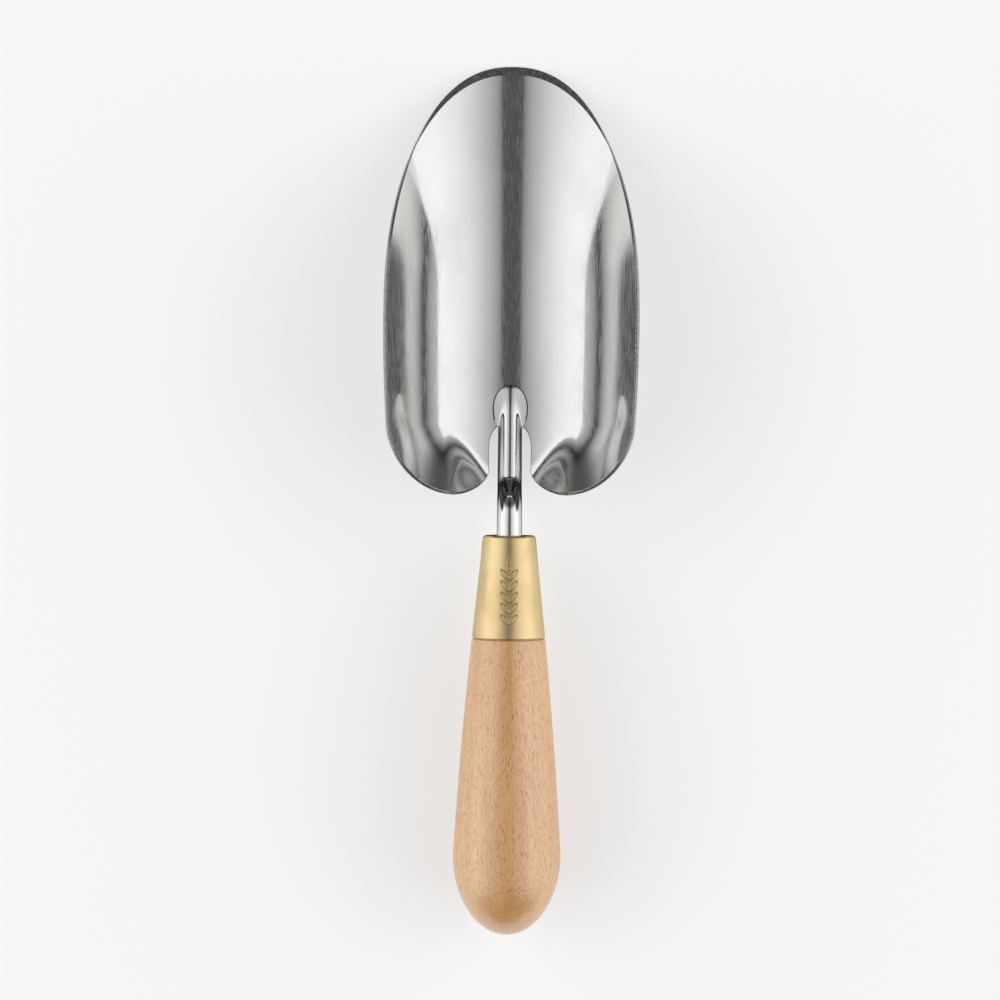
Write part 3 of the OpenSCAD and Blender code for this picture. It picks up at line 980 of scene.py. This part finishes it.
# Brightness of the tent at each angle from straight up towards the left and right, in degrees
TENT_LEVELS = ((0, 0.1), (7, 0.1), (9, 0.34), (12, 0.46), (16, 0.57), (20, 0.66), (28, 0.86),
               (40, 1.07), (52, 1.19), (70, 1.26), (90, 1.26), (92, 0.03), (180, 0.03))
# Towards the front and the back it fades to this share, between these angles off the left-right plane
TENT_ENDS = 0.12
TENT_END_FROM = math.radians(30)
TENT_END_FULL = math.radians(55)
BOX_WIDTH = 1.2
BOX_LENGTH = 2.4
BOX_ASIDE = 1.6
BOX_HEIGHT = 0.8
BOX_POWER = 17.0
CAMERA_PLACE = (-0.0033, -0.0015, 0.805)
CAMERA_ROLL = math.radians(0.48)
LENS = 82.8
SENSOR = 36.0


def mirrored_floor(m):
    """How pale the floor is in reflections, with its dark strip of painted shade under the blade and the
    neck.
    """
    where = m.axes(m.place)
    beside = m.remap(m.math("ABSOLUTE", where["X"]), *STRIP_BESIDE, MIRRORED_SHADE, PALE)
    in_front = m.remap(where["Y"], *STRIP_FRONT, MIRRORED_SHADE, MIRRORED_FRONT)
    behind_neck = m.remap(where["Y"], *STRIP_BEHIND, MIRRORED_SHADE, PALE)
    return m.math("MAXIMUM", m.math("MAXIMUM", beside, in_front), behind_neck)


def floor_material():
    m = Shading("floor")
    m.set(Base_Color=(PALE, PALE, PALE), Roughness=0.9)
    rays = m.nodes.new("ShaderNodeLightPath").outputs
    glow = m.emission(GLOW)
    seen = m.blend(m.math("MULTIPLY", rays["Is Camera Ray"], GLOW_SHARE), m.shader.outputs[0], glow)
    # Reflections see the floor with its painted shade under the tool
    surface = m.blend(rays["Is Glossy Ray"], seen, m.diffuse(mirrored_floor(m)))
    m.links.new(surface, m.nodes["Material Output"].inputs["Surface"])
    return m.material


def build_floor():
    mesh = bpy.data.meshes.new("floor")
    signs = ((-1, -1), (1, -1), (1, 1), (-1, 1))
    corners = [(x * FLOOR_HALF, y * FLOOR_HALF, FLOOR_HEIGHT) for x, y in signs]
    mesh.from_pydata(corners, [], [(0, 1, 2, 3)])
    mesh.materials.append(floor_material())
    link_object("floor", mesh)


def tent_ramp(tree, share):
    """Brightness along the tent's arch, for a share of 0 straight up and 1 straight down."""
    node = tree.nodes.new("ShaderNodeValToRGB")
    elements = node.color_ramp.elements
    elements.remove(elements[-1])
    elements[0].position = 0
    elements[0].color = (TENT_LEVELS[0][1],) * 3 + (1,)
    for degrees, level in TENT_LEVELS[1:]:
        elements.new(degrees / 180).color = (level,) * 3 + (1,)
    tree.links.new(share, node.inputs["Fac"])
    return node.outputs["Color"]


def build_world():
    """A light tent: bright left and right, a dark slit overhead along the tool, darker front and back."""
    world = bpy.data.worlds.new("tent")
    bpy.context.scene.world = world
    world.use_nodes = True
    tree = NodeTree(world.node_tree)
    direction = tree.axes(tree.nodes.new("ShaderNodeTexCoord").outputs["Generated"])
    angle = tree.math("ARCTAN2", tree.math("ABSOLUTE", direction["X"]), direction["Z"])
    arch = tent_ramp(tree, tree.math("DIVIDE", angle, math.pi))
    ends = tree.remap(tree.math("ABSOLUTE", direction["Y"]),
                      math.sin(TENT_END_FROM), math.sin(TENT_END_FULL), 1.0, TENT_ENDS)
    # The camera itself sees a plain pale backdrop
    seen = tree.nodes.new("ShaderNodeLightPath").outputs["Is Camera Ray"]
    tent = tree.math("MULTIPLY", tree.math("MULTIPLY", arch, ends), tree.math("SUBTRACT", 1.0, seen))
    level = tree.math("ADD", tent, tree.math("MULTIPLY", seen, PALE))
    background = tree.nodes["Background"]
    tree.links.new(level, background.inputs["Color"])
    background.inputs["Strength"].default_value = 1.0


def build_lights():
    """A soft box on each side for the floor and the wood. Reflections show only the tent and the floor."""
    for side in (-1, 1):
        data = bpy.data.lights.new("soft_box", "AREA")
        data.shape = "RECTANGLE"
        data.size = BOX_WIDTH
        data.size_y = BOX_LENGTH
        data.energy = BOX_POWER
        light = link_object("soft_box", data)
        light.location = (side * BOX_ASIDE, 0, BOX_HEIGHT)
        light.rotation_euler = (0, side * math.atan2(BOX_ASIDE, BOX_HEIGHT), 0)
        light.visible_glossy = False


def build_camera():
    data = bpy.data.cameras.new("camera")
    data.sensor_width = SENSOR
    data.lens = LENS
    camera = link_object("camera", data)
    camera.location = CAMERA_PLACE
    camera.rotation_euler = (0, 0, CAMERA_ROLL)
    bpy.context.scene.camera = camera


build_floor()
build_world()
build_lights()
build_camera()
bpy.context.scene.view_settings.view_transform = "Standard"
bpy.context.scene.cycles.glossy_bounces = 8
